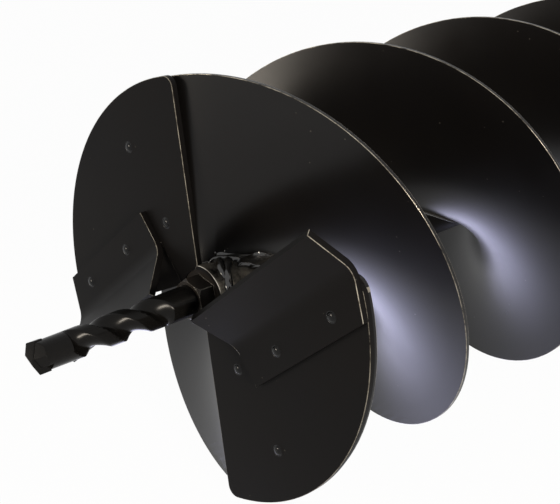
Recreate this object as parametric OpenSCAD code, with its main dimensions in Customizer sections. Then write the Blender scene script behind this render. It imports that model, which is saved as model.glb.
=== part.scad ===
// Earth auger bit: two flights on a tube stem, a fluted pilot in a hexagon holder,
// flat lead plates and bent cutting blades. Sizes in millimetres.
// The bit lies along X: the drive end is at the origin and the tip points to -X.

/* [Flights] */
// Diameter over the flights
flight_d = 200; // [140:1:300]
// Climb of one flight along the axis in a full turn
lead = 204; // [150:1:300]
// Thickness of the flight sheet
flight_t = 2; // [1.5:0.1:4]
// Distance of the sheet's straight front edge from the axis
front_edge_offset = 6.6; // [5:0.1:12]
// Angle between that front edge and the blade
front_edge_angle = 14.7; // [8:0.1:18]
// Width of the sheet where its front edge ends at the rim
front_rim_width = 10; // [6:0.5:14]

/* [Stem] */
// Outside diameter of the stem tube
stem_d = 28.4; // [24:0.1:45]
// Wall of the stem tube
stem_wall = 1.9; // [1.5:0.1:3]
// How far the tube's front rim stands ahead of the flights
stem_front = 4.2; // [4.2:0.1:9]
// Bare length of tube behind the flights
bare_length = 90; // [70:1:250]

/* [Drive end] */
// Bore of the drive bush
socket_d = 20; // [16:0.5:22]
// Length of the drive bush
bush_length = 70; // [50:1:120]
// How far the bush stands out of the tube
bush_lip = 3; // [2:0.5:6]
// Diameter of the cross hole for the drive pin
pin_hole_d = 10; // [6:0.5:12]
// Distance of the cross hole from the mouth
pin_hole_back = 30; // [20:1:40]

/* [Pilot] */
// Diameter of the pilot
pilot_d = 14.5; // [10:0.1:16]
// How far the pilot's point stands ahead of the flights
pilot_reach = 98.2; // [80:0.1:150]
// Climb of a flute in a full turn
flute_lead = 47; // [30:1:80]
// Depth of the flutes
flute_depth = 3.1; // [1:0.1:4]
// Angle that one flute takes up round the pilot
flute_width = 98; // [80:1:130]
// Distance of the flutes' front end behind the pilot's point
flute_start = 12; // [11:0.5:20]
// Distance of the flutes' rear end ahead of the flights
flute_end = 26; // [20:0.5:30]
// Length over which the flutes run out at the rear
flute_runout = 9; // [5:0.5:20]
// Direction of a flute at its rear end
flute_turn = 123; // [0:1:180]
// How far the fluted length is ground below the shank
land_relief = 0.1; // [0.05:0.05:0.3]
// How much more the lands are ground at the point
point_relief = 0.7; // [0:0.1:1]
// Length of the pilot inside the holder
shank_depth = 40; // [20:1:60]
// Thickness of the hard tip
tip_t = 3.4; // [3:0.1:5]
// Direction of the hard tip round the axis
tip_turn = 170; // [0:1:180]
// Depth of the tip's slot in the pilot
tip_slot = 9; // [6:0.5:10]
// Point angle of the hard tip
tip_angle = 131; // [110:1:150]
// Angle at which the end is ground back behind each lip
flank_angle = 31; // [10:1:40]
// Distance of the ground gash's wall from the axis
gash_wall = 1.9; // [1:0.1:4]
// How far the tip's corners stand out beside the pilot
tip_proud = 0.4; // [0.1:0.05:1]
// How far the tip stands ahead of the pilot's ground end
tip_lift = 0.3; // [0.1:0.1:1]

/* [Pilot holder] */
// How far the hexagon holder stands ahead of the flights
holder_front = 12; // [10:0.5:17]
// Width of the hexagon across its flats
holder_flats = 17.5; // [17:0.1:19]
// Direction of a corner of the hexagon
holder_turn = 1; // [0:1:60]
// Chamfer on the corners of the holder's front
holder_chamfer = 1.2; // [0.5:0.1:2]
// Depth of the holder's round body inside the tube
holder_depth = 40; // [25:1:80]
// How far the round body lies behind the tube's front rim
holder_recess = 1; // [0.5:0.1:3]

/* [Lead plates] */
// Thickness of a lead plate
plate_t = 3; // [2:0.1:5]
// How far a plate stands out beyond the flights
plate_proud = 0.6; // [0:0.1:2]
// Slant of a plate's trailing edge
plate_trail_angle = 4.9; // [0:0.1:10]
// Offset of the trailing edge behind the axis
plate_trail_offset = 0.1; // [0:0.1:3]
// Distance of a plate's leading edge from the axis
plate_lead_offset = 32; // [30:0.5:36]
// Rounding of a plate's outer corners
plate_corner_r = 5; // [2:0.5:10]

/* [Blades] */
// Thickness of a blade
blade_t = 3.2; // [2:0.1:5]
// How far a blade stands out beyond the flights
blade_proud = 1; // [0.6:0.1:3]
// Direction of the line square to a blade, round the axis
blade_turn = -25.6; // [-40:0.1:-15]
// Distance of a blade's trailing edge from the axis
blade_trail_offset = 49; // [46:0.1:60]
// Distance of a blade's bend from the axis
blade_bend_offset = 29.3; // [27:0.1:32]
// Distance of a blade's cutting edge from the axis
blade_lead_offset = 10.9; // [9:0.1:16]
// Distance of a blade's inner side from the axis
blade_inner = 9.4; // [8:0.1:12]
// Angle of a blade's bend
blade_bend = 41; // [25:1:50]
// Radius of the bend on the side of the tip
blade_bend_r = 11; // [4:0.5:14]

/* [Plugs] */
// Diameter of a plug
plug_d = 4.6; // [3:0.1:6]
// Height of a plug's domed end
plug_dome = 0.7; // [0.3:0.1:1.2]
// Distance of the blade plugs from the axis, square to the blade
blade_plug_offset = 40.1; // [38:0.1:46]
// Distance of the inner blade plug from the blade's inner side
blade_plug_in = 23.8; // [10:0.1:30]
// Distance of the outer blade plug from the blade's outer side
blade_plug_out = 18.9; // [8:0.1:30]
// Direction of the plugs through a plate
plate_plug_turn = -24.5; // [-30:0.1:-10]
// Distance of the inner plate plug from the stem
plate_plug_in = 23.4; // [15:0.1:30]
// Distance of the outer plate plug from the flights' rim
plate_plug_out = 22.1; // [10:0.1:30]

/* [Welds] */
// Size of the long root weld on the stem
root_weld = 4; // [2:0.1:6]
// Size of the lumpy weld at the front of a flight
lead_weld = 7.5; // [5:0.1:10]
// Turn at which the lumpy weld ends
lead_weld_end = 96; // [60:1:140]
// Size of the ring weld on the drive bush
ring_weld = 1.6; // [1:0.1:2.4]

/* [Fits] */
// Gap left round a piece that sits in a hole
fit = 0.15; // [0.1:0.01:0.3]
// Gap left between a weld and the faces that it joins
weld_gap = 0.1; // [0.05:0.01:0.2]

/* [Hidden] */
$fn = 96;
// direction round the axis that is up when the bit lies down
up_angle = 17.96;
black = [0.12, 0.12, 0.13];
dark = [0.2, 0.2, 0.21];
steel = [0.45, 0.45, 0.47];
sections = 3;
flight_r = flight_d / 2;
stem_r = stem_d / 2;
bore_r = stem_r - stem_wall;
pilot_r = pilot_d / 2;
drive_end = sections * lead + bare_length;
plate_r = flight_r + plate_proud;
blade_r = flight_r + blade_proud;
// climb of a flight for one degree of turn
climb = lead / 360;

// Fold of the sheet: the front end of a flight lies flat against its plate, then starts to climb.
fold_at = -1.6;
fold_half = 2.5;
flat_z = climb * fold_at;
plate_front = flat_z - plate_t;
blade_front = plate_front - blade_t;
blade_plug_places = [blade_inner + blade_plug_in,
                     sqrt(pow(blade_r, 2) - pow(blade_plug_offset, 2)) - blade_plug_out];
plate_plug_radii = [stem_r + plate_plug_in, flight_r - plate_plug_out];
plug_hole_r = plug_d / 2 + fit;
root_r = stem_r + 2 * fit;
mid_r = stem_r + (flight_r - stem_r) / 4;

function mix(a, b, s) = a + (b - a) * s;
function clamp(s) = min(1, max(0, s));

// middle of the sheet along the axis at a turn, with a round fold
function sheet_z(turn) =
    let (past = turn - fold_at)
    flat_z + flight_t / 2 + climb * (past <= -fold_half ? 0
        : past >= fold_half ? past
        : pow(past + fold_half, 2) / (4 * fold_half));

// half of the sheet's thickness measured along the axis, more where the sheet is steep
function sheet_half(r, turn) =
    let (steep = clamp((turn - fold_at) / 14) * climb * 180 / PI / r)
    flight_t / 2 * sqrt(1 + steep * steep);

// front face of the sheet between the root and a quarter of its width
function sheet_front(r, turn) =
    sheet_z(turn) - mix(sheet_half(root_r, turn), sheet_half(mid_r, turn), (r - root_r) / (mid_r - root_r));

// the flat front end of the sheet runs to a straight edge behind the blade, from the stem to near the rim
edge_turn = blade_turn + front_edge_angle;
edge_root_turn = edge_turn - acos(min(1, front_edge_offset / root_r));
edge_rim_turn = edge_turn - acos(front_edge_offset / (flight_r - front_rim_width));
function inner_r(turn) =
    turn > edge_root_turn ? root_r : front_edge_offset / cos(turn - edge_turn);

function spaced(a, b, n) = [for (i = [0 : n]) mix(a, b, i / n)];
first_turns = concat(spaced(edge_rim_turn, edge_root_turn, 12), spaced(edge_root_turn + 6, fold_at - fold_half, 8),
                     spaced(fold_at - fold_half + 1, 16, 12), spaced(22, 360, 56));
next_turns = spaced(0, 360, 60);

// six points of the sheet's section at a turn: the front face from the root to the rim,
// then the back face from the rim to the root
function sheet_section(turn) =
    let (a = inner_r(turn), b = max(mid_r, a + 2), radii = [a, b, flight_r, flight_r, b, a])
    [for (i = [0 : 5]) [radii[i] * cos(turn), radii[i] * sin(turn),
                        sheet_z(turn) + (i < 3 ? -1 : 1) * sheet_half(radii[i], turn)]];

// closed skin over a row of rings that have the same number of points;
// on the first strips the faces are split along the other diagonal
module skin(rings, other = 0) {
    n = len(rings[0]);
    last = len(rings) - 1;
    points = [for (ring = rings) for (p = ring) p];
    sides = [for (i = [0 : last - 1]) for (j = [0 : n - 1])
        let (a = i * n + j, b = i * n + (j + 1) % n, c = b + n, d = a + n)
        each (j < other ? [[a, b, d], [b, c, d]] : [[a, b, c], [a, c, d]])];
    caps = [[for (j = [n - 1 : -1 : 0]) j], [for (j = [0 : n - 1]) last * n + j]];
    polyhedron(points, concat(sides, caps), convexity = 10);
}

// turns the axis of the work from Z to X and lays the bit down
module lay() {
    translate([-drive_end, 0, 0]) rotate([0, 90, 0]) rotate([0, 0, 180 - up_angle]) children();
}

// second flight, plate and blade: half a turn round the axis
module side_b() {
    rotate([0, 0, 180]) children();
}

module tube(r, bore, z0, z1) {
    difference() {
        translate([0, 0, z0]) cylinder(r = r, h = z1 - z0);
        translate([0, 0, z0 - 1]) cylinder(r = bore, h = z1 - z0 + 2);
    }
}

module pin_hole() {
    translate([0, 0, drive_end - pin_hole_back]) rotate([0, 0, up_angle])
        rotate([90, 0, 0]) cylinder(d = pin_hole_d, h = stem_d + 4, center = true);
}

module stem_tube() {
    color(black) lay() difference() {
        tube(stem_r, bore_r, -stem_front, drive_end - bush_lip);
        pin_hole();
    }
}

module drive_bush() {
    color(dark) lay() difference() {
        tube(bore_r - fit, socket_d / 2, drive_end - bush_length, drive_end);
        pin_hole();
    }
}

module socket_weld() {
    inner = bore_r - fit + weld_gap;
    foot = drive_end - bush_lip + weld_gap;
    color(dark) lay() rotate_extrude() translate([inner, foot]) intersection() {
        circle(r = ring_weld);
        square(ring_weld + 1);
    }
}

module pilot_holder() {
    corner_r = holder_flats / sqrt(3);
    body_front = holder_recess - stem_front;
    color(black) lay() difference() {
        union() {
            rotate([0, 0, holder_turn]) intersection() {
                translate([0, 0, -holder_front])
                    cylinder(r = corner_r, h = holder_front + body_front + 1, $fn = 6);
                rotate_extrude() polygon([[0, -holder_front], [corner_r - holder_chamfer, -holder_front],
                    [corner_r + 1, holder_chamfer + 1 - holder_front], [corner_r + 1, body_front + 1],
                    [0, body_front + 1]]);
            }
            translate([0, 0, body_front]) cylinder(r = bore_r - fit, h = holder_depth - body_front);
        }
        translate([0, 0, -holder_front - 1]) cylinder(r = pilot_r + fit, h = holder_front + holder_depth + 2);
    }
}

// Pilot: a hard tip set across its end, two lips ground back to flanks, and a gash in front of each lip.
lip_angle = 90 - tip_angle / 2;
start_runout = 5;

// share of the flutes' depth at a place along the pilot
function flute_fade(z) =
    let (rear = clamp((z + flute_end + flute_runout) / flute_runout),
         front = clamp((flute_start + start_runout - pilot_reach - z) / start_runout))
    sqrt(max(0, 1 - pow(max(rear, front), 2)));

// radius of the pilot at a place along it and a direction round it
function pilot_edge(z, turn) =
    let (off = ((turn - flute_turn - 360 * (z + flute_end) / flute_lead) % 180 + 270) % 180 - 90,
         s = clamp(2 * abs(off) / flute_width))
    pilot_r - land_relief - point_relief * clamp((-flute_end - z) / (pilot_reach - flute_end))
        - flute_depth * flute_fade(z) * pow(cos(90 * s), 0.8);

// space ground away behind the two lips, set back along the axis
module flanks(back) {
    for (side = [0, 180]) rotate([0, 0, tip_turn + side]) translate([0, -tip_t / 2, back - pilot_reach])
        rotate([0, -lip_angle, 0]) rotate([flank_angle, 0, 0]) translate([-pilot_d, -pilot_d, -pilot_d])
            cube([2 * pilot_d, 3 * pilot_d, pilot_d]);
}

// space ground away in front of the two lips, down to the faces of the hard tip
module gashes() {
    for (side = [0, 180]) rotate([0, 0, tip_turn + side])
        translate([-pilot_d, tip_t / 2, -pilot_reach - 1])
            cube([pilot_d + gash_wall, pilot_d, tip_slot + 1]);
}

module pilot_bit() {
    around = 44;
    levels = spaced(-pilot_reach, -flute_end, 54);
    rings = [for (z = levels)
        [for (j = [0 : around - 1]) let (turn = -360 * j / around, r = pilot_edge(z, turn))
            [r * cos(turn), r * sin(turn), z]]];
    color(black) lay() difference() {
        union() {
            skin(rings);
            translate([0, 0, -flute_end]) cylinder(r = pilot_r, h = flute_end + shank_depth);
        }
        rotate([0, 0, tip_turn]) translate([-pilot_d, -tip_t / 2 - fit, -pilot_reach - 1])
            cube([2 * pilot_d, tip_t + 2 * fit, tip_slot + 1]);
        flanks(tip_lift);
        gashes();
    }
}

module pilot_tip() {
    half = pilot_r + tip_proud - point_relief;
    color(steel) lay() difference() {
        rotate([0, 0, tip_turn]) translate([-half, -tip_t / 2, -pilot_reach])
            cube([2 * half, tip_t, tip_slot]);
        flanks(0);
    }
}

module flight_turn(k) {
    turns = k == 0 ? first_turns : next_turns;
    skin([for (turn = turns) sheet_section(turn + 360 * k)], 2);
}

module flight_a_turn_1() {
    color(black) lay() flight_turn(0);
}

module flight_a_turn_2() {
    color(black) lay() flight_turn(1);
}

module flight_a_turn_3() {
    color(black) lay() flight_turn(2);
}

module flight_b_turn_1() {
    color(black) lay() side_b() flight_turn(0);
}

module flight_b_turn_2() {
    color(black) lay() side_b() flight_turn(1);
}

module flight_b_turn_3() {
    color(black) lay() side_b() flight_turn(2);
}

// frame of a blade: X square to the blade, Y from the outer side to the inner one
module blade_frame() {
    rotate([0, 0, blade_turn]) children();
}

function arc_points(centre, r, a, b, n) = [for (t = spaced(a, b, n)) centre + r * [cos(t), sin(t)]];

// outline of a plate: trailing edge, rounded corner, rim, rounded corner, leading edge and step to the stem
module plate_outline() {
    trail = plate_trail_angle;
    n = [cos(blade_turn), sin(blade_turn)];
    u = [sin(blade_turn), -cos(blade_turn)];
    inside_r = plate_r - plate_corner_r;
    trail_y = -plate_trail_offset * cos(trail) - plate_corner_r;
    trail_x = sqrt(pow(inside_r, 2) - pow(trail_y, 2));
    trail_rim = trail + atan2(trail_y, trail_x);
    lead_x = plate_lead_offset + plate_corner_r;
    lead_rim = blade_turn - acos(lead_x / inside_r);
    rim = arc_points([0, 0], plate_r, trail_rim, lead_rim, 32);
    difference() {
        polygon(concat([[0, -plate_trail_offset]],
            arc_points(inside_r * [cos(trail_rim), sin(trail_rim)], plate_corner_r, trail + 90, trail_rim, 6),
            [for (i = [1 : len(rim) - 2]) rim[i]],
            arc_points(inside_r * [cos(lead_rim), sin(lead_rim)], plate_corner_r, lead_rim, blade_turn - 180, 6),
            [plate_lead_offset * n + blade_inner * u, blade_inner * u]));
        circle(r = stem_r + 2 * fit);
    }
}

module blade_plug_places_on() {
    for (place = blade_plug_places)
        blade_frame() translate([blade_plug_offset, -place, 0]) children();
}

module plate_plug_places_on() {
    for (r = plate_plug_radii)
        rotate([0, 0, plate_plug_turn]) translate([r, 0, 0]) children();
}

module lead_plate() {
    difference() {
        translate([0, 0, plate_front]) linear_extrude(plate_t) plate_outline();
        blade_plug_places_on() translate([0, 0, plate_front - 1]) cylinder(r = plug_hole_r, h = plate_t + 2);
        plate_plug_places_on() translate([0, 0, plate_front - 1]) cylinder(r = plug_hole_r, h = plate_t + 2);
    }
}

module lead_plate_a() {
    color(black) lay() lead_plate();
}

module lead_plate_b() {
    color(black) lay() side_b() lead_plate();
}

// section of a blade in X and Z: flat part, round bend and slanted cutting part
module blade_section() {
    tangent = blade_bend_r * tan(blade_bend / 2);
    centre = [blade_bend_offset + tangent, blade_front - blade_bend_r];
    reach = (blade_bend_offset - blade_lead_offset) / cos(blade_bend);
    edge = [blade_lead_offset, blade_front - reach * sin(blade_bend)];
    back = blade_t * [-sin(blade_bend), cos(blade_bend)];
    polygon(concat([[blade_trail_offset, blade_front], [blade_trail_offset, blade_front + blade_t]],
        bend_arc(centre, blade_bend_r + blade_t, 0, blade_bend), [edge + back, edge],
        bend_arc(centre, blade_bend_r, blade_bend, 0)));
}

function bend_arc(centre, r, a, b) = [for (s = spaced(a, b, 10)) centre + r * [-sin(s), cos(s)]];

module blade() {
    difference() {
        intersection() {
            blade_frame() translate([0, -blade_inner, 0]) rotate([90, 0, 0])
                linear_extrude(blade_r) blade_section();
            translate([0, 0, -pilot_reach]) cylinder(r = blade_r, h = pilot_reach, $fn = 180);
        }
        blade_plug_places_on() translate([0, 0, blade_front - 1]) cylinder(r = plug_hole_r, h = blade_t + 2);
    }
}

module blade_a() {
    color(dark) lay() blade();
}

module blade_b() {
    color(dark) lay() side_b() blade();
}

// plug with a low domed end, from a front face back to the sheet of the flight
module plug(front) {
    dome_r = (pow(plug_d / 2, 2) + pow(plug_dome, 2)) / (2 * plug_dome);
    translate([0, 0, front]) cylinder(d = plug_d, h = flat_z - front);
    intersection() {
        translate([0, 0, front - plug_dome + dome_r]) sphere(r = dome_r);
        translate([0, 0, front - plug_dome]) cylinder(d = plug_d, h = plug_dome);
    }
}

module blade_plugs_a() {
    color(steel) lay() blade_plug_places_on() plug(blade_front);
}

module blade_plugs_b() {
    color(steel) lay() side_b() blade_plug_places_on() plug(blade_front);
}

module plate_plugs_a() {
    color(steel) lay() plate_plug_places_on() plug(plate_front);
}

module plate_plugs_b() {
    color(steel) lay() side_b() plate_plug_places_on() plug(plate_front);
}

// section of a weld in the corner between the stem and the front face of a flight
function weld_section(turn, out, along, points) =
    let (r0 = stem_r + weld_gap)
    concat([[r0, sheet_front(r0, turn) - weld_gap]],
        [for (i = [points - 1 : -1 : 0]) let (s = 90 * i / (points - 1), r = r0 + out * sin(s))
            [r, sheet_front(r, turn) - weld_gap - along * cos(s)]]);

function weld_ring(turn, section) = [for (p = section) [p[0] * cos(turn), p[0] * sin(turn), p[1]]];

// uneven size of a hand-laid weld along its length
function lump(turn) = 0.72 + 0.2 * sin(11 * turn) + 0.12 * sin(23 * turn + 40);

module lead_weld_bead() {
    start = plate_trail_angle + 4;
    skin([for (turn = spaced(start, lead_weld_end, 30))
        let (end = clamp(min(turn - start, lead_weld_end - turn) / 9 + 0.25),
             size = lead_weld * lump(turn) * end)
        weld_ring(turn, weld_section(turn, size, 1.5 * size, 7))]);
}

module root_weld_bead() {
    last = 360 * sections - 4;
    count = ceil((last - lead_weld_end) / 8);
    skin([for (turn = spaced(lead_weld_end + 1, last, count))
        weld_ring(turn, weld_section(turn, root_weld, 2 * root_weld, 3))]);
}

module lead_weld_a() {
    color(dark) lay() lead_weld_bead();
}

module lead_weld_b() {
    color(dark) lay() side_b() lead_weld_bead();
}

module root_weld_a() {
    color(dark) lay() root_weld_bead();
}

module root_weld_b() {
    color(dark) lay() side_b() root_weld_bead();
}

stem_tube();
drive_bush();
socket_weld();
pilot_holder();
pilot_bit();
pilot_tip();
flight_a_turn_1();
flight_a_turn_2();
flight_a_turn_3();
flight_b_turn_1();
flight_b_turn_2();
flight_b_turn_3();
lead_plate_a();
lead_plate_b();
blade_a();
blade_b();
blade_plugs_a();
blade_plugs_b();
plate_plugs_a();
plate_plugs_b();
lead_weld_a();
lead_weld_b();
root_weld_a();
root_weld_b();
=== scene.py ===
"""Looks of an earth auger bit: black painted steel flights, plates, blades and pilot."""

import math

import bmesh
import bpy
from mathutils import Matrix, Vector


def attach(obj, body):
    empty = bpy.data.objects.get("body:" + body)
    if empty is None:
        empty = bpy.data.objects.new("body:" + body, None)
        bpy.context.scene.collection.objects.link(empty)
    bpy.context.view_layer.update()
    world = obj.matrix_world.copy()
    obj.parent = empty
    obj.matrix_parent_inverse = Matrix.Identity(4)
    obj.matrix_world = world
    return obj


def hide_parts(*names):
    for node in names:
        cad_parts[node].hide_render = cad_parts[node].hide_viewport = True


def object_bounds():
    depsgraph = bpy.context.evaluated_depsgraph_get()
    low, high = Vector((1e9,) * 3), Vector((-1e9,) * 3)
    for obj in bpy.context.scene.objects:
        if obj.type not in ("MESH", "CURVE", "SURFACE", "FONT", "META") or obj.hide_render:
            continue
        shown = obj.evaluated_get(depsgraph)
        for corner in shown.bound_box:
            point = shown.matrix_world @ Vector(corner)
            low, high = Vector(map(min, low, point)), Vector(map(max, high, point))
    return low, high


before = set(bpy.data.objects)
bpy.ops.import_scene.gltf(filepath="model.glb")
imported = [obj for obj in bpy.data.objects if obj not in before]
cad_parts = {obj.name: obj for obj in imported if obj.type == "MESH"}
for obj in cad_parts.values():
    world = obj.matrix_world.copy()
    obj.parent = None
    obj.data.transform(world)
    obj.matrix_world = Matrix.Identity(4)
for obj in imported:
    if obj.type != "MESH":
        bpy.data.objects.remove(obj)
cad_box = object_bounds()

# Sizes in metres. The bit is worked about its own axis: Z runs from the tip to the drive end,
# turns are counted round Z, and LAY then lays the bit down along X as the frame has it.
MM = 0.001
FLIGHT_R = 100 * MM
LEAD = 204 * MM
SECTIONS = 3
SHEET = 2 * MM
STEM_R = 14.2 * MM
STEM_BORE_R = 12.3 * MM
PLATE = 3 * MM
PLATE_R = 100.6 * MM
BLADE = 3.2 * MM
BLADE_R = 101 * MM
PILOT_R = 7.25 * MM
PILOT_REACH = 98.2 * MM
# rear length of the stem without a flight
BARE = 90 * MM
# turn that points up when the bit lies down
UP_TURN = math.radians(17.96)
CLIMB = LEAD / math.tau
DRIVE_END = SECTIONS * LEAD + BARE
ROOT_R = STEM_R + 0.3 * MM
# the front end of each sheet lies flat under its plate and starts to climb at the fold
FOLD = math.radians(-1.6)
FOLD_HALF = math.radians(2.5)
FLAT_Z = CLIMB * FOLD
PLATE_FRONT = FLAT_Z - PLATE
BLADE_FRONT = PLATE_FRONT - BLADE
# direction square to a blade, round the axis, and distances from the axis along it
BLADE_TURN = math.radians(-25.6)
BLADE_TRAIL = 49 * MM
BLADE_BEND = 29.3 * MM
BLADE_EDGE = 10.9 * MM
BLADE_ANGLE = math.radians(41)
BLADE_BEND_R = 11 * MM
# distance of a blade's inner end from the axis, along the blade
BLADE_INNER = 9.4 * MM
# straight front edge of the sheet, behind the blade: its distance from the axis and its direction
FRONT_EDGE = 7.2 * MM
EDGE_TURN = BLADE_TURN + math.radians(13.3)
FRONT_RIM = 10 * MM
FRONT_CORNER = 8 * MM
PLATE_LEAD = 32 * MM
PLATE_TRAIL_TURN = math.radians(4.9)
PLATE_CORNER = 5 * MM
# the plates are laid over the front of the stem's wall
PLATE_ROOT_R = 12.5 * MM
# softened edges: of painted sheet and plate, of fine pieces and of heavy ones
EDGE = 0.25 * MM
FINE_EDGE = 0.2 * MM
HEAVY_EDGE = 0.4 * MM
# points nearer than this are one point
MERGE = 0.001 * MM

LAY = Matrix((
    (0, 0, 1, -DRIVE_END),
    (math.sin(UP_TURN), -math.cos(UP_TURN), 0, 0),
    (math.cos(UP_TURN), math.sin(UP_TURN), 0, 0),
    (0, 0, 0, 1),
))
SIDES = {"a": LAY, "b": LAY @ Matrix.Rotation(math.pi, 4, "Z")}


# Materials

def linear(code):
    """Linear colour of an sRGB hex value."""
    parts = [int(code[i:i + 2], 16) / 255 for i in (1, 3, 5)]
    return (*[c / 12.92 if c <= 0.04045 else ((c + 0.055) / 1.055) ** 2.4 for c in parts], 1)


def add(tree, kind, settings=None, **links):
    """Adds a node, sets its properties and joins or sets its inputs.

    An input goes by its name, with _ for a space, or by i and its number.
    """
    node = tree.nodes.new(kind)
    for key, value in (settings or {}).items():
        setattr(node, key, value)
    for key, value in links.items():
        numbered = key[0] == "i" and key[1:].isdigit()
        socket = node.inputs[int(key[1:]) if numbered else key.replace("_", " ")]
        if isinstance(value, bpy.types.NodeSocket):
            tree.links.new(value, socket)
        else:
            socket.default_value = value
    return node


def noise(tree, coords, size, **links):
    """Noise with features of about a given size."""
    return add(tree, "ShaderNodeTexNoise", Vector=coords, Scale=1 / size, **links).outputs["Fac"]


def maths(tree, operation, first, second):
    return add(tree, "ShaderNodeMath", {"operation": operation}, i0=first, i1=second).outputs[0]


def mixed(tree, share, first, second):
    """A colour between two colours."""
    node = add(tree, "ShaderNodeMix", {"data_type": "RGBA"}, Factor=share, i6=first, i7=second)
    return node.outputs[2]


def new_material(name):
    material = bpy.data.materials.new(name)
    material.use_nodes = True
    material.node_tree.nodes.clear()
    return material, material.node_tree


def gloss_paint(name, body, warm, roughness, gloss):
    """Black powder paint, baked on: soft orange peel, a little dust, and steel on rubbed edges, partly
    wear and partly painted highlight.
    """
    material, tree = new_material(name)
    coords = add(tree, "ShaderNodeTexCoord").outputs["Object"]
    # slow drift of the black towards a warmer tone
    drift = noise(tree, coords, 70 * MM, Detail=2.0)
    tone = mixed(tree, drift, linear(body), linear(warm))
    # dust: specks of about 0.5 mm, drawn coarser than real dust so that they show
    cells = add(tree, "ShaderNodeTexVoronoi", Vector=coords, Scale=1 / (7 * MM)).outputs
    speck = maths(tree, "LESS_THAN", cells["Distance"], 0.05)
    some = maths(tree, "GREATER_THAN", cells["Color"], 0.6)
    dust = maths(tree, "MULTIPLY", maths(tree, "MULTIPLY", speck, some), 0.22)
    dusty = mixed(tree, dust, tone, linear("#8d8a83"))
    # paint worn off the softened edges, in runs of about 9 mm broken up at about 1 mm
    # the mark is partly real wear and partly painted highlight on edges that catch the light; on the
    # stem it also carries a painted sheen
    edge = add(tree, "ShaderNodeAttribute", {"attribute_name": "wear_and_painted_highlight"}).outputs["Fac"]
    runs = noise(tree, coords, 9 * MM, Detail=4.0, Roughness=0.75)
    wear_and_highlight = add(tree, "ShaderNodeMapRange", Value=runs, From_Min=0.34, From_Max=0.58).outputs[0]
    bare = maths(tree, "MULTIPLY", edge, wear_and_highlight)
    colour = mixed(tree, bare, dusty, linear("#c4beb0"))
    # gloss that varies slowly
    sheen = noise(tree, coords, 25 * MM, Detail=3.0)
    rough = add(tree, "ShaderNodeMapRange", Value=sheen, To_Min=roughness - 0.05,
                To_Max=roughness + 0.05).outputs[0]
    # orange peel
    peel = noise(tree, coords, 2 * MM, Detail=1.0)
    bump = add(tree, "ShaderNodeBump", Height=peel, Strength=0.035, Distance=0.2 * MM).outputs[0]
    shader = add(tree, "ShaderNodeBsdfPrincipled", Base_Color=colour, Metallic=bare,
                 Roughness=rough, Normal=bump, Specular_IOR_Level=gloss)
    add(tree, "ShaderNodeOutputMaterial", Surface=shader.outputs[0])
    return material


def bare_steel(name):
    """Turned mild steel, left bare: grey metal with fine tool rings and a little oil stain."""
    material, tree = new_material(name)
    coords = add(tree, "ShaderNodeTexCoord").outputs["Object"]
    stain = noise(tree, coords, 9 * MM, Detail=4.0)
    colour = mixed(tree, stain, linear("#8c8a86"), linear("#5d5851"))
    rings = add(tree, "ShaderNodeTexWave", {"bands_direction": "X"}, Vector=coords,
                Scale=1 / (6.3 * MM), Distortion=1.0).outputs["Fac"]
    bump = add(tree, "ShaderNodeBump", Height=rings, Strength=0.15, Distance=0.05 * MM).outputs[0]
    shader = add(tree, "ShaderNodeBsdfPrincipled", Base_Color=colour, Metallic=1.0, Roughness=0.38,
                 Normal=bump)
    add(tree, "ShaderNodeOutputMaterial", Surface=shader.outputs[0])
    return material


PAINT = gloss_paint("gloss_black_powder_paint", "#0b0b0c", "#0f0d0c", roughness=0.3, gloss=0.2)
PLATE_PAINT = gloss_paint("satin_black_plate_paint", "#0d0d0f", "#110f0d", roughness=0.42, gloss=0.05)
PLUG_PAINT = gloss_paint("gloss_black_plug_paint", "#060606", "#090808", roughness=0.16, gloss=0.2)
PILOT_PAINT = gloss_paint("gloss_black_pilot_paint", "#0c0c0c", "#100f0e", roughness=0.24, gloss=0.11)
WELD_PAINT = gloss_paint("gloss_black_weld_paint", "#1b1a18", "#211e1a", roughness=0.16, gloss=0.7)
# lighter black paint, its extra tone painted light on the holder's faces
HOLDER_PAINT = gloss_paint("painted_light_black_holder_paint", "#201e1c", "#292420", roughness=0.4, gloss=0.15)
# lighter black paint, its extra tone painted light for the sheets' shaded flat fronts
LIGHTENED_FLAT_PAINT = gloss_paint("painted_light_black_flat_paint", "#262628", "#2b2927", roughness=0.42, gloss=0.05)
BUSH_STEEL = bare_steel("turned_bush_steel")


# Shaping

def finish_piece(name, bm, materials, nodes, place=None, sharp=35):
    """Closes a bmesh into a smooth-shaded object that rides on the bit for its CAD nodes."""
    if place is not None:
        bmesh.ops.transform(bm, matrix=place, verts=bm.verts)
    bmesh.ops.recalc_face_normals(bm, faces=bm.faces)
    mesh = bpy.data.meshes.new(name)
    bm.to_mesh(mesh)
    bm.free()
    mesh.shade_smooth()
    mesh.set_sharp_from_angle(angle=math.radians(sharp))
    for material in materials:
        mesh.materials.append(material)
    obj = bpy.data.objects.new(name, mesh)
    bpy.context.scene.collection.objects.link(obj)
    # large flat faces keep their own normals beside the softened edges
    obj.modifiers.new("even_normals", "WEIGHTED_NORMAL").keep_sharp = True
    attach(obj, "root")
    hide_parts(*nodes)


def wear_and_highlight_layer(bm):
    return bm.faces.layers.float.get("wear_and_painted_highlight") or bm.faces.layers.float.new("wear_and_painted_highlight")


def full_wear_and_highlight(face):
    return 1.0


def no_edge_mark(face):
    return 0.0


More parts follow.
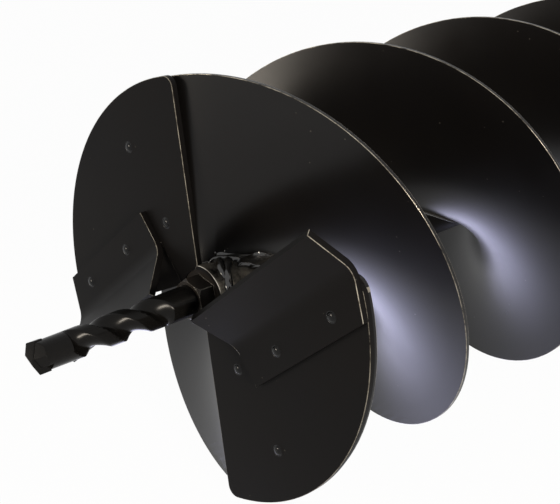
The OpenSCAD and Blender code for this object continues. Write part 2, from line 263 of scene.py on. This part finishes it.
def soften(bm, edges, width=EDGE, wear_and_highlight=full_wear_and_highlight):
    """Rounds edges and marks the new narrow faces with the wear, partly painted highlight, that a
    function gives them.
    """
    layer = wear_and_highlight_layer(bm)
    made = bmesh.ops.bevel(bm, geom=edges, offset=width, offset_type="OFFSET", affect="EDGES",
                           segments=2, profile=0.5, material=-1, clamp_overlap=True)
    bmesh.ops.recalc_face_normals(bm, faces=bm.faces[:])
    for face in made["faces"]:
        face[layer] = wear_and_highlight(face)


def sharp_edges(bm, angle=40):
    """Edges whose two faces turn by more than an angle in degrees."""
    limit = math.radians(angle)
    return [e for e in bm.edges if len(e.link_faces) == 2 and e.calc_face_angle() > limit]


def outline_face(bm, points):
    """One face from a closed row of points."""
    verts = [bm.verts.new(p) for p in points]
    return bm.faces.new(verts)


def pulled(bm, face):
    """Extrudes a face and gives its new points, still to be placed."""
    made = bmesh.ops.extrude_face_region(bm, geom=[face])["geom"]
    return [g for g in made if isinstance(g, bmesh.types.BMVert)]


def thicken(bm, face, depth):
    """Pulls a face into a solid plate along Z."""
    bmesh.ops.translate(bm, vec=(0, 0, depth), verts=pulled(bm, face))


def arc(centre, radius, start, end, steps):
    """Points of an arc round a centre in the plane across the axis."""
    x, y = centre[0], centre[1]
    turns = [start + (end - start) * i / steps for i in range(steps + 1)]
    return [Vector((x + radius * math.cos(t), y + radius * math.sin(t), 0)) for t in turns]


def turned(turn, along, across=0.0):
    """Point at a distance along a direction round the axis and at a distance square to it."""
    c, s = math.cos(turn), math.sin(turn)
    return Vector((along * c - across * s, along * s + across * c, 0))


def polar(radius, turn, z):
    """Point at a distance from the axis, a turn round it and a place along it."""
    return Vector((radius * math.cos(turn), radius * math.sin(turn), z))


def lathe(bm, points, steps, centre=(0, 0, 0), closed=False):
    """Turns a row of points, or a closed ring of them, once round an axis along Z."""
    verts = [bm.verts.new(p) for p in points]
    first = 0 if closed else 1
    edges = [bm.edges.new((verts[i - 1], verts[i])) for i in range(first, len(verts))]
    bmesh.ops.spin(bm, geom=verts + edges, cent=centre, axis=(0, 0, 1), angle=math.tau,
                   steps=steps, use_merge=True)


def draw_out(bm, rows):
    """Skin through a row of closed rings: each is extruded from the last and then placed."""
    ring = [bm.verts.new(p) for p in rows[0]]
    edges = [bm.edges.new((ring[i - 1], ring[i])) for i in range(len(ring))]
    for row in rows[1:]:
        made = bmesh.ops.extrude_edge_only(bm, edges=edges)["geom"]
        edges = [e for e in made if isinstance(e, bmesh.types.BMEdge)]
        fresh = {v for e in edges for v in e.verts}
        follows = {}
        for v in fresh:
            ends = (e.other_vert(v) for e in v.link_edges)
            follows[next(end for end in ends if end not in fresh)] = v
        ring = [follows[v] for v in ring]
        for v, p in zip(ring, row):
            v.co = p
    return edges


def close_ends(bm):
    bmesh.ops.edgeloop_fill(bm, edges=[e for e in bm.edges if len(e.link_faces) == 1])


def skinned(rows):
    """Closed shape through a row of rings."""
    bm = bmesh.new()
    draw_out(bm, rows)
    close_ends(bm)
    return bm


def add_shell(bm, other):
    """Adds the closed shape of another bmesh."""
    mesh = bpy.data.meshes.new("shell")
    other.to_mesh(mesh)
    other.free()
    bm.from_mesh(mesh)
    bpy.data.meshes.remove(mesh)


def unit(value):
    return min(1, max(0, value))


# Flights

EDGE_ROOT_TURN = EDGE_TURN - math.acos(FRONT_EDGE / ROOT_R)
EDGE_RIM_TURN = EDGE_TURN - math.acos(FRONT_EDGE / (FLIGHT_R - FRONT_RIM))
# turn over which the sheet's section comes to its full slope
EASE = math.radians(14)
# stretches of the flat front end and the fold: start, end and number of rings
FRONT_RINGS = ((EDGE_RIM_TURN, EDGE_ROOT_TURN, 40), (EDGE_ROOT_TURN, FOLD - FOLD_HALF, 24),
               (FOLD - FOLD_HALF, EASE, 18))
SPIN_STEP = math.radians(2.5)
# points from the stem to the rim, closer together near the stem
RADIAL_STEPS = 14
RADIAL_CROWDING = 1.6
# the rounded corners of the rim, without the rim between them
RIM_ROUND = (FLIGHT_R - 1.05 * EDGE, FLIGHT_R - 0.02 * EDGE)
# strength of the edge mark on the rim's corners: partly wear, partly painted highlight
RIM_WEAR_AND_HIGHLIGHT = 0.6


def sheet_middle(turn):
    """Place of the sheet's middle along the axis."""
    past = turn - FOLD
    if past <= -FOLD_HALF:
        rise = 0
    elif past >= FOLD_HALF:
        rise = past
    else:
        rise = (past + FOLD_HALF) ** 2 / (4 * FOLD_HALF)
    return FLAT_Z + SHEET / 2 + CLIMB * rise


def sheet_half(radius, turn):
    """Half of the sheet's thickness along the axis, more where the sheet is steep."""
    steep = unit((turn - FOLD) / EASE) * CLIMB / radius
    return SHEET / 2 * math.sqrt(1 + steep * steep)


def sheet_inner(turn):
    """Inner limit of the sheet: the stem, or the straight front edge behind the blade."""
    return ROOT_R if turn > EDGE_ROOT_TURN else FRONT_EDGE / math.cos(turn - EDGE_TURN)


def sheet_rim(turn):
    """Outer limit of the sheet, rounded at the front corner."""
    short = FRONT_CORNER - min(FRONT_CORNER, (turn - EDGE_RIM_TURN) * FLIGHT_R)
    return FLIGHT_R - FRONT_CORNER + math.sqrt(FRONT_CORNER ** 2 - short ** 2)


def sheet_section(turn):
    """Closed section of the sheet, from the root along the front to the rim and back."""
    inner = sheet_inner(turn)
    reach = sheet_rim(turn) - EDGE
    shares = [(i / RADIAL_STEPS) ** RADIAL_CROWDING for i in range(RADIAL_STEPS + 1)]
    radii = [inner + (reach - inner) * share for share in shares]
    half = sheet_half(FLIGHT_R, turn)
    corner = [(reach + EDGE * math.sin(a), half - EDGE + EDGE * math.cos(a))
              for a in (math.pi / 6, math.pi / 3, math.pi / 2)]
    front = [(r, -sheet_half(r, turn)) for r in radii] + [(r, -z) for r, z in corner]
    back = [(r, -z) for r, z in reversed(front)]
    middle = sheet_middle(turn)
    return [polar(r, turn, middle + z) for r, z in front + back]


def flight(side):
    """One flight: the flat front end and the fold, ring by ring, then turns spun along the stem."""
    bm = bmesh.new()
    spots = [a + (b - a) * i / n for a, b, n in FRONT_RINGS for i in range(n)] + [EASE]
    edges = draw_out(bm, [sheet_section(spot) for spot in spots])
    angle = math.tau * SECTIONS - EASE
    steps = round(angle / SPIN_STEP)
    bmesh.ops.spin(bm, geom=edges, cent=(0, 0, 0), axis=(0, 0, 1), angle=angle, steps=steps,
                   dvec=(0, 0, CLIMB * angle / steps), use_merge=False)
    close_ends(bm)
    layer = wear_and_highlight_layer(bm)
    for face in bm.faces:
        if RIM_ROUND[0] < min(v.co.xy.length for v in face.verts) < RIM_ROUND[1]:
            face[layer] = RIM_WEAR_AND_HIGHLIGHT
        # the flat front, beside the plate, takes a lighter paint: painted light in its shade
        face.material_index = 1 if face.calc_center_median().z < FLAT_Z + SHEET / 2 else 0
    nodes = [f"flight_{side}_turn_{k}" for k in range(1, SECTIONS + 1)]
    finish_piece(f"flight_{side}_sheet", bm, [PAINT, LIGHTENED_FLAT_PAINT], nodes, place=SIDES[side])


# Lead plates and blades

RIM_STEPS = 70
CORNER_STEPS = 8
ROOT_STEPS = 12
# the plate's round inner edge stops short of the trailing edge by this turn
PLATE_ROOT_SHORT = math.radians(8)
BEND_STEPS = 14
# faces whose normal lies below this along Z look to the front
FRONT_FACING = -0.2
# zone beside an edge that counts as that edge
EDGE_MARK_ZONE = 1 * MM
# strengths of the edge mark on plates and blades: partly wear, partly painted highlight
PLATE_WEAR_AND_HIGHLIGHT = 0.4
BLADE_WEAR_AND_HIGHLIGHT = 0.3
BLADE_END_WEAR_AND_HIGHLIGHT = 0.65


def plate_outline():
    """Outline of a lead plate: radial trailing edge, round rim, leading edge, step to the stem."""
    points = [turned(PLATE_TRAIL_TURN, ROOT_R)]
    # rounded trailing corner
    along = math.sqrt((PLATE_R - PLATE_CORNER) ** 2 - PLATE_CORNER ** 2)
    centre = turned(PLATE_TRAIL_TURN, along, -PLATE_CORNER)
    rim_start = math.atan2(centre.y, centre.x)
    points += arc(centre, PLATE_CORNER, PLATE_TRAIL_TURN + math.pi / 2, rim_start, CORNER_STEPS)
    # round rim and rounded leading corner
    along = PLATE_LEAD + PLATE_CORNER
    across = -math.sqrt((PLATE_R - PLATE_CORNER) ** 2 - along ** 2)
    centre = turned(BLADE_TURN, along, across)
    rim_end = math.atan2(centre.y, centre.x)
    points += arc((0, 0), PLATE_R, rim_start, rim_end, RIM_STEPS)[1:-1]
    points += arc(centre, PLATE_CORNER, rim_end, BLADE_TURN - math.pi, CORNER_STEPS)
    # leading edge under the blade, and the round inner edge on the stem
    points.append(turned(BLADE_TURN, PLATE_LEAD, -BLADE_INNER))
    along = math.sqrt(PLATE_ROOT_R ** 2 - BLADE_INNER ** 2)
    inner = turned(BLADE_TURN, along, -BLADE_INNER)
    points += arc((0, 0), PLATE_ROOT_R, math.atan2(inner.y, inner.x),
                  PLATE_TRAIL_TURN - PLATE_ROOT_SHORT, ROOT_STEPS)
    return points


def plate_wear_and_highlight(face):
    """Wear and painted highlight of a plate's softened edges: some at the front, none at the back or
    round the stem.
    """
    outer = face.calc_center_median().xy.length > PLATE_ROOT_R + EDGE_MARK_ZONE
    return PLATE_WEAR_AND_HIGHLIGHT if outer and face.normal.z < FRONT_FACING else 0.0


def lead_plate(side):
    bm = bmesh.new()
    face = outline_face(bm, [p + Vector((0, 0, PLATE_FRONT)) for p in plate_outline()])
    thicken(bm, face, PLATE)
    soften(bm, sharp_edges(bm), wear_and_highlight=plate_wear_and_highlight)
    finish_piece(f"lead_plate_{side}_steel", bm, [PLATE_PAINT], [f"lead_plate_{side}"],
                 place=SIDES[side])


def blade_profile():
    """Section of a blade: distance from the axis, and place along it."""
    start = BLADE_BEND + BLADE_BEND_R * math.tan(BLADE_ANGLE / 2)
    low = BLADE_FRONT - BLADE_BEND_R
    reach = (BLADE_BEND - BLADE_EDGE) / math.cos(BLADE_ANGLE)
    edge = (BLADE_EDGE, BLADE_FRONT - reach * math.sin(BLADE_ANGLE))
    back = (edge[0] - BLADE * math.sin(BLADE_ANGLE), edge[1] + BLADE * math.cos(BLADE_ANGLE))
    turns = [BLADE_ANGLE * i / BEND_STEPS for i in range(BEND_STEPS + 1)]

    def bend(radius):
        return [(start - radius * math.sin(t), low + radius * math.cos(t)) for t in turns]

    trail = [(BLADE_TRAIL, BLADE_FRONT), (BLADE_TRAIL, BLADE_FRONT + BLADE)]
    return trail + bend(BLADE_BEND_R + BLADE) + [back, edge] + bend(BLADE_BEND_R)[::-1]


def blade_wear_and_highlight(face):
    """Wear and painted highlight of a blade's softened edges: most at its two ends, less along it, none
    at the back.
    """
    if face.normal.z > FRONT_FACING:
        return 0.0
    point = face.calc_center_median()
    outer = point.xy.length > BLADE_R - EDGE_MARK_ZONE
    inner = point.dot(turned(BLADE_TURN, 0, 1)) > -BLADE_INNER - EDGE_MARK_ZONE
    return BLADE_END_WEAR_AND_HIGHLIGHT if outer or inner else BLADE_WEAR_AND_HIGHLIGHT


def blade(side):
    """A bent cutting plate, pulled out from its inner end to the round of the hole."""
    bm = bmesh.new()
    inner_end = [turned(BLADE_TURN, x, -BLADE_INNER) + Vector((0, 0, z)) for x, z in blade_profile()]
    outward = turned(BLADE_TURN, 0, -1)
    for v in pulled(bm, outline_face(bm, inner_end)):
        x = v.co.dot(turned(BLADE_TURN, 1))
        v.co += outward * (math.sqrt(BLADE_R ** 2 - x ** 2) - BLADE_INNER)
    soften(bm, sharp_edges(bm), wear_and_highlight=blade_wear_and_highlight)
    finish_piece(f"blade_{side}_steel", bm, [PLATE_PAINT], [f"blade_{side}"], place=SIDES[side])


# Plugs

# half section of a plug, a dome with a fine groove round it, in mm: radius, height over the face
PLUG_SECTION = ((0, 0.95), (0.5, 0.93), (1.0, 0.84), (1.5, 0.68), (1.9, 0.46), (2.2, 0.2),
                (2.35, 0.02), (2.5, 0.01), (2.6, 0.07), (2.75, 0.05), (2.9, -0.1))
PLUG_STEPS = 28
BLADE_PLUG_ROW = 40.1 * MM
BLADE_PLUG_SPOTS = [turned(BLADE_TURN, BLADE_PLUG_ROW, -d * MM) for d in (33.2, 73.8)]
PLATE_PLUG_TURN = math.radians(-24.5)
PLATE_PLUG_SPOTS = [turned(PLATE_PLUG_TURN, r * MM) for r in (37.6, 77.9)]


def plugs(name, side, spots, front):
    """A set of plugs on one face."""
    bm = bmesh.new()
    for spot in spots:
        section = [spot + Vector((r * MM, 0, front - h * MM)) for r, h in PLUG_SECTION]
        lathe(bm, section, PLUG_STEPS, spot)
    bmesh.ops.remove_doubles(bm, verts=bm.verts, dist=MERGE)
    bmesh.ops.holes_fill(bm, edges=bm.edges, sides=0)
    finish_piece(f"{name}_{side}_domes", bm, [PLUG_PAINT], [f"{name}_{side}"], place=SIDES[side])


# Pilot

FLUTE_LEAD = 43 * MM
FLUTE_DEPTH = 3.1 * MM
# half widths of a flute, round the axis, on its steep side and on the other
FLUTE_LIP = math.radians(42)
FLUTE_SLOPE = math.radians(75)
LIP_FULLNESS = 0.7
FLUTE_TURN = math.radians(145)
FLUTE_REAR = -26 * MM
REAR_RUNOUT = 9 * MM
FLUTE_FRONT = 19 * MM - PILOT_REACH
FRONT_RUNOUT = 5 * MM
SHANK_FRONT = FLUTE_REAR + 0.5 * MM
SHANK_DEPTH = 40 * MM
POINT_RELIEF = 0.8 * MM
PILOT_AROUND = 120
PILOT_RINGS = 140
# hard tip set across the pilot's end
TIP_TURN = math.radians(170)
TIP = 3.4 * MM
TIP_END = 9 * MM - PILOT_REACH
TIP_SEAM = 0.1 * MM
LIP_ANGLE = math.radians(90 - 131 / 2)
FLANK_ANGLE = math.radians(31)
FLANK_BACK = 0.3 * MM
GASH_WALL = -4.2 * MM
LOBE_STEPS = 16
LOBE_LAP = 0.5 * MM


def land_radius(z):
    """Radius of the lands, ground a little thinner towards the point."""
    return PILOT_R - POINT_RELIEF * unit((FLUTE_REAR - z) / (PILOT_REACH + FLUTE_REAR))


def pilot_radius(z, turn):
    """Radius of the pilot: round lands, and two flutes, steep on one side, that run out."""
    off = turn - FLUTE_TURN - math.tau * (z - FLUTE_REAR) / FLUTE_LEAD
    off = (off + math.pi / 2) % math.pi - math.pi / 2
    steep = off > 0
    share = unit(off / FLUTE_LIP if steep else -off / FLUTE_SLOPE)
    rear = unit((z - FLUTE_REAR + REAR_RUNOUT) / REAR_RUNOUT)
    front = unit((FLUTE_FRONT + FRONT_RUNOUT - z) / FRONT_RUNOUT)
    fade = math.sqrt(max(0, 1 - max(rear, front) ** 2))
    hollow = math.cos(math.pi / 2 * share) ** (LIP_FULLNESS if steep else 1)
    return land_radius(z) - FLUTE_DEPTH * fade * hollow


def pilot_lobe(turn):
    """What is left of the pilot's end beside the hard tip: part of a round bar with ground flanks."""
    bm = bmesh.new()
    radius = land_radius(TIP_END)
    inner = TIP / 2 + TIP_SEAM
    outline = [Vector((GASH_WALL, inner, 0))]
    outline += arc((0, 0), radius, math.asin(inner / radius), math.acos(GASH_WALL / radius), LOBE_STEPS)
    face = outline_face(bm, [p + Vector((0, 0, TIP_END + LOBE_LAP)) for p in outline])
    thicken(bm, face, -PILOT_REACH - TIP_END)
    level = math.cos(FLANK_ANGLE)
    for lean in (-math.sin(LIP_ANGLE), math.sin(LIP_ANGLE)):
        flank = Vector((lean * level, -math.sin(FLANK_ANGLE), math.cos(LIP_ANGLE) * level))
        bmesh.ops.bisect_plane(bm, geom=bm.verts[:] + bm.edges[:] + bm.faces[:], dist=MERGE,
                               plane_co=(0, -TIP / 2, FLANK_BACK - PILOT_REACH), plane_no=flank,
                               clear_inner=True)
        close_ends(bm)
    soften(bm, sharp_edges(bm), FINE_EDGE, wear_and_highlight=no_edge_mark)
    bmesh.ops.transform(bm, matrix=Matrix.Rotation(turn, 4, "Z"), verts=bm.verts)
    return bm


def pilot():
    """The pilot's body, drawn out ring by ring with its flutes, and the two lobes at its end."""
    levels = [TIP_END + (FLUTE_REAR - TIP_END) * i / PILOT_RINGS for i in range(PILOT_RINGS + 1)]
    levels += [SHANK_FRONT, 0, SHANK_DEPTH]
    turns = [math.tau * i / PILOT_AROUND for i in range(PILOT_AROUND)]
    bm = skinned([[polar(pilot_radius(z, t), t, z) for t in turns] for z in levels])
    for turn in (TIP_TURN, TIP_TURN + math.pi):
        add_shell(bm, pilot_lobe(turn))
    finish_piece("pilot_body", bm, [PILOT_PAINT], ["pilot_bit"], place=LAY, sharp=40)


# Stem

STEM_FRONT = PLATE_FRONT + 0.05 * MM
STEM_RIM = 0.2 * MM
STEM_STEPS = 96
# rings behind the front rim that carry the fading grey of a painted sheen, its strength and its loss
# per metre
PAINTED_SHEEN_RINGS = 4
PAINTED_SHEEN_STEP = 10 * MM
PAINTED_SHEEN_STRENGTH = 0.55
PAINTED_SHEEN_FADE = 12


def stem():
    """The stem tube: its front outer rim shows steel, partly wear and partly painted highlight, and a
    painted sheen of fading grey lies behind it.
    """
    bm = bmesh.new()
    front, rear = STEM_FRONT, DRIVE_END
    section = [(STEM_R - STEM_RIM, front), (STEM_R, front + STEM_RIM)]
    section += [(STEM_R, front + PAINTED_SHEEN_STEP * i) for i in range(1, PAINTED_SHEEN_RINGS + 1)]
    section += [(STEM_R, rear - STEM_RIM), (STEM_R - STEM_RIM, rear)]
    section += [(STEM_BORE_R, rear), (STEM_BORE_R, front)]
    lathe(bm, [(r, 0, z) for r, z in section], STEM_STEPS, closed=True)
    bmesh.ops.remove_doubles(bm, verts=bm.verts, dist=MERGE)
    layer = wear_and_highlight_layer(bm)
    for face in bm.faces:
        point = face.calc_center_median()
        if point.xy.length > STEM_R - STEM_RIM:
            # painted sheen: a grey that fades back from the rim, standing in for a gloss highlight on
            # the stem
            painted_sheen = max(0, PAINTED_SHEEN_STRENGTH - (point.z - front) * PAINTED_SHEEN_FADE)
            face[layer] = 1.0 if point.z < front + STEM_RIM else painted_sheen
    finish_piece("stem_steel_tube", bm, [PAINT], ["stem_tube"], place=LAY)


# Pieces that keep the shape of their CAD node, with softened edges

CAD_MERGE = 0.002 * MM
CAD_FLAT = math.radians(0.5)


def softened(name, node, material, width=EDGE, angle=40, wear_and_highlight=full_wear_and_highlight):
    bm = bmesh.new()
    bm.from_mesh(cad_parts[node].data)
    bmesh.ops.remove_doubles(bm, verts=bm.verts, dist=CAD_MERGE)
    bmesh.ops.dissolve_limit(bm, angle_limit=CAD_FLAT, verts=bm.verts, edges=bm.edges)
    soften(bm, sharp_edges(bm, angle), width, wear_and_highlight=wear_and_highlight)
    finish_piece(name, bm, [material], [node])


# Welds. The sizes in these tables are in mm, and the turns in degrees.

# the pool of weld in the corner: turn, reach along the stem, thickness, reach up the sheet
POOL = ((9, 2.5, 0.6, 2.6), (12, 5.5, 1.9, 4.6), (16, 6.2, 2.6, 5.4), (22, 5.8, 2.3, 3.9),
        (30, 7.2, 2.4, 2.8), (37, 7.8, 1.6, 2.9), (43, 12, 2.0, 4.9), (48, 15.4, 2.4, 4.8),
        (55, 15.2, 2.3, 3.6), (62, 16.6, 2.8, 4.6), (70, 12.5, 2.3, 4.4), (82, 8.5, 1.9, 3.6),
        (96, 4, 0.8, 2.2))
# runs that flowed out over the stem: turn, place along the axis, half width, height
FIRST_RUN = ((9, 8.5, 1.6, 1.2), (17, 6.6, 2.5, 2.2), (27, 4.8, 2.4, 2.0), (38, 3.4, 2.0, 1.5),
             (50, 2.2, 1.5, 1.1), (60, 1.4, 0.5, 0.3))
SECOND_RUN = ((20, 12.5, 1.6, 1.6), (30, 9.2, 2.7, 2.4), (45, 5.4, 1.9, 1.8), (58, 3.6, 2.0, 2.0),
              (67, 2.8, 2.2, 1.7), (77, 1.5, 2.2, 2.2), (88, 0.9, 1.8, 1.4), (96, 0.3, 0.6, 0.4))
# small beads of spatter on the sheet: turn, distance from the axis, radius
SPATTER = ((12, 18.1, 0.7), (19, 18.6, 0.45), (50, 18.0, 0.6))
# points between two points of a table, and points across a weld
POOL_BETWEEN = 10
RUN_BETWEEN = 8
POOL_ACROSS = 24
RUN_ACROSS = 16
# width of the pool's rounded lip, how far lip and runs sink into the stem, and how late the
# pool climbs the sheet
POOL_LIP = 2.2
LIP_SUNK = 0.3
RUN_SUNK = 0.4
POOL_CLIMB = 4
# depth of the welds' hidden inner side
WELD_DEPTH = 1 * MM
# long root weld: where it starts, how far it stops before the sheet's end, its step and size
ROOT_START = math.radians(97)
ROOT_SHORT = math.radians(4)
ROOT_STEP = math.radians(1)
ROOT_ACROSS = 6
ROOT_CLEAR = 0.05 * MM
ROOT_HEIGHT = 1.8 * MM
ROOT_WIDTH = 3.4 * MM
RIPPLE = 0.06
RIPPLES_A_TURN = 90


def smooth_run(points, steps):
    """More points between the given ones, on a smooth curve."""
    def between(p, q, r, w, t):
        return 0.5 * (2 * q + (r - p) * t + (2 * p - 5 * q + 4 * r - w) * t * t
                      + (3 * q - p - 3 * r + w) * t ** 3)

    ends = [points[0], *points, points[-1]]
    out = []
    for span in zip(ends, ends[1:], ends[2:], ends[3:]):
        out += [[between(*values, i / steps) for values in zip(*span)] for i in range(steps)]
    return out + [list(points[-1])]


def weld_run(points):
    """A run of weld lying on the stem."""
    rows = []
    for i, (turn, z, width, height) in enumerate(points):
        before, after = points[max(0, i - 1)], points[min(len(points) - 1, i + 1)]
        round_step = math.radians(after[0] - before[0]) * STEM_R / MM
        step = Vector((round_step, after[1] - before[1])).normalized()
        row = []
        for j in range(RUN_ACROSS + 1):
            lean = math.pi * j / RUN_ACROSS
            side = width * math.cos(lean)
            spot_turn = math.radians(turn) - side * MM * step.y / STEM_R
            radius = STEM_R - RUN_SUNK * MM + (height + RUN_SUNK) * MM * math.sin(lean)
            row.append(polar(radius, spot_turn, (z + side * step.x) * MM))
        rows.append(row)
    return skinned(rows)


def weld_pool(points):
    """Weld in the corner of the stem and the sheet."""
    rows = []
    for turn, along, thick, crest in points:
        turn = math.radians(turn)
        middle = sheet_middle(turn)
        row = [(STEM_R - WELD_DEPTH, middle), (STEM_R - WELD_DEPTH, middle - along * MM)]
        for j in range(POOL_ACROSS + 1):
            share = j / POOL_ACROSS
            lip = min(1, share * along / POOL_LIP)
            out = thick * math.sqrt(1 - (1 - lip) ** 2) - LIP_SUNK * (1 - lip)
            out += max(0, crest - thick) * share ** POOL_CLIMB
            row.append((STEM_R + out * MM, middle - SHEET / 2 - along * (1 - share) * MM))
        rows.append([polar(r, turn, z) for r, z in row])
    return skinned(rows)


def lead_weld(side):
    """The thick hand-laid weld at the front of a flight: pool, two runs and a little spatter."""
    bm = weld_pool(smooth_run(POOL, POOL_BETWEEN))
    for run in (FIRST_RUN, SECOND_RUN):
        add_shell(bm, weld_run(smooth_run(run, RUN_BETWEEN)))
    for degrees, distance, radius in SPATTER:
        turn = math.radians(degrees)
        spot = turned(turn, distance * MM)
        spot.z = sheet_middle(turn) - sheet_half(distance * MM, turn)
        bmesh.ops.create_icosphere(bm, subdivisions=3, radius=radius * MM,
                                   matrix=Matrix.Translation(spot))
    finish_piece(f"lead_weld_{side}_bead", bm, [WELD_PAINT], [f"lead_weld_{side}"],
                 place=SIDES[side], sharp=60)


def root_weld(side):
    """The long weld that holds a flight to the stem, with the ripple of its run."""
    start, end = ROOT_START, math.tau * SECTIONS - ROOT_SHORT
    count = round((end - start) / ROOT_STEP)
    rows = []
    for i in range(count + 1):
        turn = start + (end - start) * i / count
        middle = sheet_middle(turn)
        ripple = 1 + RIPPLE * math.sin(turn * RIPPLES_A_TURN)
        section = [(STEM_R - WELD_DEPTH, middle)]
        for j in range(ROOT_ACROSS + 1):
            lean = math.pi / 2 * j / ROOT_ACROSS
            radius = STEM_R + ROOT_CLEAR + ROOT_HEIGHT * ripple * math.sin(lean)
            below = sheet_half(radius, turn) + ROOT_WIDTH * ripple * math.cos(lean)
            section.append((radius, middle - below))
        rows.append([polar(r, turn, z) for r, z in section])
    finish_piece(f"root_weld_{side}_bead", skinned(rows), [WELD_PAINT], [f"root_weld_{side}"],
                 place=SIDES[side], sharp=60)


# The pieces

for side in SIDES:
    flight(side)
    lead_plate(side)
    blade(side)
    plugs("blade_plugs", side, BLADE_PLUG_SPOTS, BLADE_FRONT)
    plugs("plate_plugs", side, PLATE_PLUG_SPOTS, PLATE_FRONT)
    lead_weld(side)
    root_weld(side)
pilot()
softened("pilot_hard_tip", "pilot_tip", PILOT_PAINT, FINE_EDGE, wear_and_highlight=no_edge_mark)
softened("pilot_hexagon_holder", "pilot_holder", HOLDER_PAINT, width=HEAVY_EDGE, angle=25)
stem()
softened("drive_bush_sleeve", "drive_bush", BUSH_STEEL, HEAVY_EDGE)
softened("socket_ring_weld", "socket_weld", WELD_PAINT, width=FINE_EDGE)


# Stage, light and camera

WHITE = (1, 1, 1, 1)
# share of the floor that shines white to the rays that show the background
FLOOR_WHITE = 0.975
# the floor lies clear of the blades, which reach 1 mm further out than the flights
FLOOR_Z = cad_box[0].z - 1.2 * MM
FLOOR_HALF = 6.0
FLOOR_X = -0.4


def background_rays(tree):
    """One for rays that show the background: from the camera, off gloss, or through glass."""
    path = add(tree, "ShaderNodeLightPath").outputs
    shown = maths(tree, "MAXIMUM", path["Is Camera Ray"], path["Is Glossy Ray"])
    return maths(tree, "MAXIMUM", shown, path["Is Transmission Ray"])


def pale_floor():
    """Matt white board: white to the camera and in the gloss, with a soft shadow."""
    material, tree = new_material("matt_white_board")
    part = maths(tree, "MULTIPLY", background_rays(tree), FLOOR_WHITE)
    matt = add(tree, "ShaderNodeBsdfDiffuse", Color=linear("#f2f2f2")).outputs[0]
    white = add(tree, "ShaderNodeEmission", Color=WHITE, Strength=1.0).outputs[0]
    both = add(tree, "ShaderNodeMixShader", i0=part, i1=matt, i2=white)
    add(tree, "ShaderNodeOutputMaterial", Surface=both.outputs[0])
    return material


floor_mesh = bpy.data.meshes.new("floor")
bm = bmesh.new()
bmesh.ops.create_grid(bm, x_segments=1, y_segments=1, size=FLOOR_HALF)
bmesh.ops.translate(bm, vec=(FLOOR_X, 0, FLOOR_Z), verts=bm.verts)
bm.to_mesh(floor_mesh)
bm.free()
floor = bpy.data.objects.new("floor", floor_mesh)
floor_mesh.materials.append(pale_floor())
bpy.context.scene.collection.objects.link(floor)

world = bpy.data.worlds.new("studio")
world.use_nodes = True
sky_tree = world.node_tree
sky_tree.nodes.clear()
backdrop = add(sky_tree, "ShaderNodeBackground", Color=WHITE, Strength=1.0).outputs[0]
room = add(sky_tree, "ShaderNodeBackground", Color=linear("#6b6a6e"), Strength=0.5).outputs[0]
sky = add(sky_tree, "ShaderNodeMixShader", i0=background_rays(sky_tree), i1=room, i2=backdrop)
add(sky_tree, "ShaderNodeOutputWorld", Surface=sky.outputs[0])
bpy.context.scene.world = world


def softbox(name, spot, aim, size, power, colour, spread=180):
    """An area lamp whose long side lies level."""
    light = bpy.data.lights.new(name, "AREA")
    light.shape = "RECTANGLE"
    light.size, light.size_y = size
    light.energy = power
    light.spread = math.radians(spread)
    light.color = linear(colour)[:3]
    obj = bpy.data.objects.new(name, light)
    obj.location = spot
    back = (Vector(spot) - Vector(aim)).normalized()
    along = Vector((0, 0, 1)).cross(back).normalized()
    obj.rotation_euler = Matrix((along, back.cross(along), back)).transposed().to_euler()
    obj.visible_camera = False
    bpy.context.scene.collection.objects.link(obj)


FOCUS = (-0.7, 0, 0)
WARM_LIGHT = "#fff3e2"
COOL_LIGHT = "#d2d3ff"
# a warm box beside the camera and one in front of the tip
softbox("key_box", (-1.2, -1.47, 0.41), FOCUS, (0.4, 0.3), 27, WARM_LIGHT)
softbox("front_box", (-2.95, 0.8, 0.42), FOCUS, (0.6, 0.6), 27, WARM_LIGHT)

# under the flights, a louvre of cool slanting strips, tilted towards the tip and the camera and
# cut off at the flights' front; steps, reach and power are counted along X
STRIPS = 60
STRIP_FIRST = -0.7
STRIP_STEP = 0.016
STRIP_REACH = 0.412
STRIP_CUT = -0.71
STRIP_Y = -0.09
STRIP_SLANT = 0.435
STRIP_COSINE = 0.917
STRIP_WIDTH = 0.0058
STRIP_POWER = 0.0092
STRIP_SPREAD = 56
STRIP_TILT = Vector((-0.2, -0.46, 0.86))
STRIP_Z = FLOOR_Z + 5 * MM
for i in range(STRIPS):
    right = STRIP_FIRST + STRIP_STEP * i
    left = max(right - STRIP_REACH, STRIP_CUT)
    middle = (left + right) / 2
    spot = Vector((middle, STRIP_Y + (right - middle) * STRIP_SLANT, STRIP_Z))
    softbox(f"under_strip_{i}", spot, spot + STRIP_TILT, ((right - left) / STRIP_COSINE, STRIP_WIDTH),
            STRIP_POWER * (right - left), COOL_LIGHT, STRIP_SPREAD)

camera = bpy.data.objects.new("camera", bpy.data.cameras.new("camera"))
camera.data.sensor_width = 36
camera.data.lens = 70.58
camera.data.shift_x = 0.068
camera.location = (-1.0077, -0.3361, 0.2215)
camera.rotation_euler = [math.radians(a) for a in (66.183, -1.675, -43.446)]
bpy.context.scene.collection.objects.link(camera)
bpy.context.scene.camera = camera
bpy.context.scene.view_settings.view_transform = "Standard"
